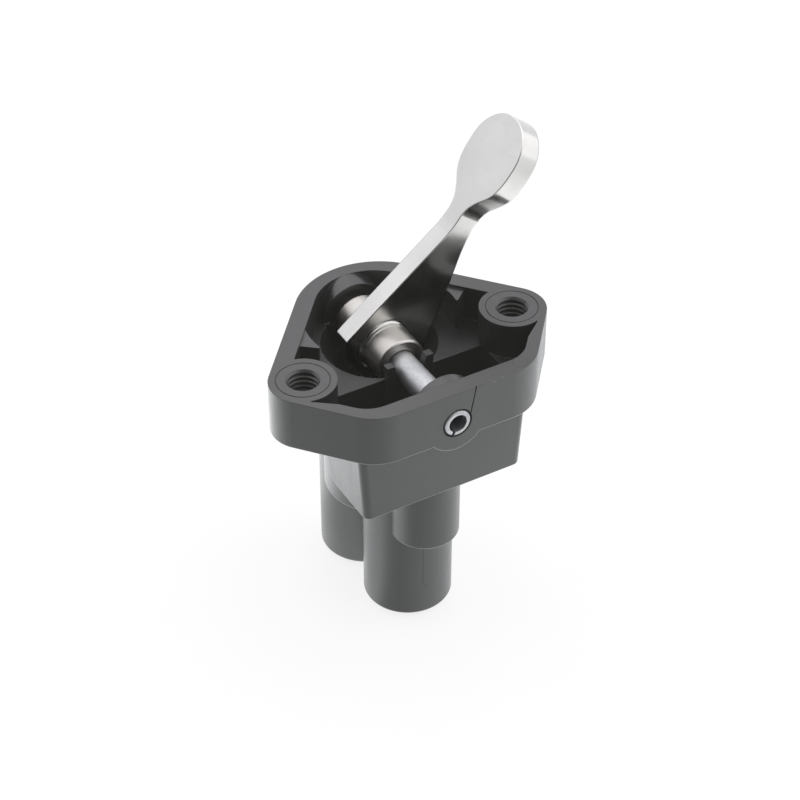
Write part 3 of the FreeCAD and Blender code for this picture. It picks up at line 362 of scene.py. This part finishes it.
# painted reflection: seen only by glossy rays, the table glows with a tone set by the direction round the object
# and by the distance from it, so the glossy parts mirror it unevenly
lit = f.out.inputs["Surface"].links[0].from_socket
tc = f.new("ShaderNodeTexCoord")
sx = f.new("ShaderNodeSeparateXYZ")
f.t.links.new(tc.outputs["Object"], sx.inputs["Vector"])
turn = f.math("ARCTAN2", sx.outputs["Y"], sx.outputs["X"])
turn = f.math("FRACT", f.math("ADD", f.math("DIVIDE", turn, 2 * math.pi), 1.0))
away = f.math("SQRT", f.math("ADD", f.math("POWER", sx.outputs["X"], 2.0), f.math("POWER", sx.outputs["Y"], 2.0)))
WIDE = ((0.0, 1.56), (40, 1.46), (75, 1.7), (100, 2.35), (125, 2.80), (150, 2.05), (178, 1.12), (200, 0.76),
        (225, 0.82), (262, 0.96), (300, 1.22), (335, 1.50), (352, 1.60), (360, 1.56))
CLOSE = ((0.0, 1.42), (40, 1.42), (75, 1.5), (100, 1.45), (125, 1.42), (150, 1.3), (178, 1.40), (200, 0.82),
         (225, 0.73), (262, 0.99), (300, 1.16), (335, 1.30), (352, 1.42), (360, 1.42))


def round_ramp(stops):
    ramp = f.new("ShaderNodeValToRGB")
    els = ramp.color_ramp.elements
    for i, (deg, val) in enumerate(stops):
        e = els[i] if i < 2 else els.new(deg / 360.0)
        e.position = deg / 360.0
        e.color = (val / 3.0 * 0.985, val / 3.0, val / 3.0 * 1.01, 1)
    f.t.links.new(turn, ramp.inputs["Fac"])
    return ramp.outputs["Color"]


mirrored_glow_paint = f.mix(f.remap(away, 26 * MM, 38 * MM, 0.0, 1.0), round_ramp(CLOSE), round_ramp(WIDE))
mirrored_glow_paint = f.mix(f.remap(away, 72 * MM, 135 * MM, 0.0, 0.5), mirrored_glow_paint, (0.21, 0.21, 0.212))
em = f.new("ShaderNodeEmission")
f.t.links.new(mirrored_glow_paint, em.inputs["Color"])
em.inputs["Strength"].default_value = 3.0
lp = f.new("ShaderNodeLightPath")
ms = f.new("ShaderNodeMixShader")
f.t.links.new(lp.outputs["Is Glossy Ray"], ms.inputs["Fac"])
glow = f.new("ShaderNodeEmission")
glow.inputs["Strength"].default_value = 0.10
both = f.new("ShaderNodeAddShader")
f.t.links.new(lit, both.inputs[0])
f.t.links.new(glow.outputs["Emission"], both.inputs[1])
f.t.links.new(both.outputs["Shader"], ms.inputs[1])
f.t.links.new(em.outputs["Emission"], ms.inputs[2])
# seen directly the sweep is burnt out to white, with only a trace of shadow
white = f.new("ShaderNodeEmission")
white.inputs["Strength"].default_value = 1.02
veil = f.new("ShaderNodeMixShader")
f.t.links.new(f.math("MULTIPLY", lp.outputs["Is Camera Ray"], 0.80), veil.inputs["Fac"])
f.t.links.new(ms.outputs["Shader"], veil.inputs[1])
f.t.links.new(white.outputs["Emission"], veil.inputs[2])
under = f.new("ShaderNodeMixShader")
f.t.links.new(f.new("ShaderNodeNewGeometry").outputs["Backfacing"], under.inputs["Fac"])
f.t.links.new(veil.outputs["Shader"], under.inputs[1])
f.t.links.new(f.new("ShaderNodeBsdfTransparent").outputs["BSDF"], under.inputs[2])
f.t.links.new(under.outputs["Shader"], f.out.inputs["Surface"])
me.materials.append(f.mat)

world = bpy.data.worlds.new("studio")
scene.world = world
world.use_nodes = True
wt = world.node_tree
wt.nodes.clear()


def wnode(kind, **props):
    n = wt.nodes.new(kind)
    for k, v in props.items():
        setattr(n, k, v)
    return n


# a white tent, open towards the camera where the darker room shows
wo = wnode("ShaderNodeOutputWorld")
bg = wnode("ShaderNodeBackground")
bg.inputs["Strength"].default_value = 1.0
wc = wnode("ShaderNodeTexCoord")


def facing(direction, lo, hi):
    """0 away from a direction, 1 towards it."""
    d = wnode("ShaderNodeVectorMath", operation="DOT_PRODUCT")
    n = wnode("ShaderNodeVectorMath", operation="NORMALIZE")
    wt.links.new(wc.outputs["Generated"], n.inputs[0])
    wt.links.new(n.outputs["Vector"], d.inputs[0])
    d.inputs[1].default_value = Vector(direction).normalized()
    r = wnode("ShaderNodeMapRange", interpolation_type="SMOOTHSTEP")
    wt.links.new(d.outputs["Value"], r.inputs["Value"])
    r.inputs["From Min"].default_value = lo
    r.inputs["From Max"].default_value = hi
    return r.outputs["Result"]


def wmix(fac, a, b):
    n = wnode("ShaderNodeMix", data_type="RGBA")
    wt.links.new(fac, n.inputs["Factor"])
    for sock, val in ((n.inputs[6], a), (n.inputs[7], b)):
        if isinstance(val, bpy.types.NodeSocket):
            wt.links.new(val, sock)
        else:
            sock.default_value = val
    return n.outputs[2]


sky = wmix(facing((0.2, 0.7, 0.65), -0.2, 0.95), (0.86, 0.855, 0.877, 1), (1.07, 1.06, 1.10, 1))
sky = wmix(facing((-0.75, -0.62, 0.25), 0.48, 0.76), sky, (0.02, 0.02, 0.02, 1))
# seen directly the tent is plain white
sky = wmix(wnode("ShaderNodeLightPath").outputs["Is Camera Ray"], sky, (1.0, 1.0, 1.0, 1))
wt.links.new(sky, bg.inputs["Color"])
wt.links.new(bg.outputs["Background"], wo.inputs["Surface"])


def softbox(name, pos, aim, w, h, power, color=(1, 1, 1)):
    l = bpy.data.lights.new(name, "AREA")
    l.shape = "RECTANGLE"
    l.size = w
    l.size_y = h
    l.energy = power
    l.color = color
    o = bpy.data.objects.new(name, l)
    o.location = pos
    d = Vector(aim) - Vector(pos)
    o.rotation_euler = d.to_track_quat("-Z", "Y").to_euler()
    scene.collection.objects.link(o)
    return o


softbox("right_softbox", (0.55, -0.22, 0.30), (0, 0, 0), 0.9, 0.9, 1.2)
softbox("top_softbox", (-0.05, 0.20, 0.75), (0, 0, 0), 1.1, 1.1, 2.0)

# --------------------------------------------------------------------- camera
cam = bpy.data.cameras.new("camera")
cam.sensor_width = 36.0
cam.sensor_fit = "HORIZONTAL"
cam.lens = 96.79
cam.clip_start = 0.005
cam.clip_end = 20.0
co = bpy.data.objects.new("camera", cam)
az, el = math.radians(-30.0), math.radians(38.895)
fwd = Vector((-math.sin(az) * math.cos(el), math.cos(az) * math.cos(el), -math.sin(el)))
right = Vector((math.cos(az), math.sin(az), 0.0))
up = right.cross(fwd)
rot = Matrix((right, up, -fwd)).transposed()
co.matrix_world = Matrix.Translation(Vector((-0.12148, -0.20770, 0.18371))) @ rot.to_4x4()
scene.collection.objects.link(co)
scene.camera = co

scene.view_settings.view_transform = "Standard"
scene.view_settings.look = "None"
scene.view_settings.exposure = 0.0
scene.view_settings.gamma = 1.0
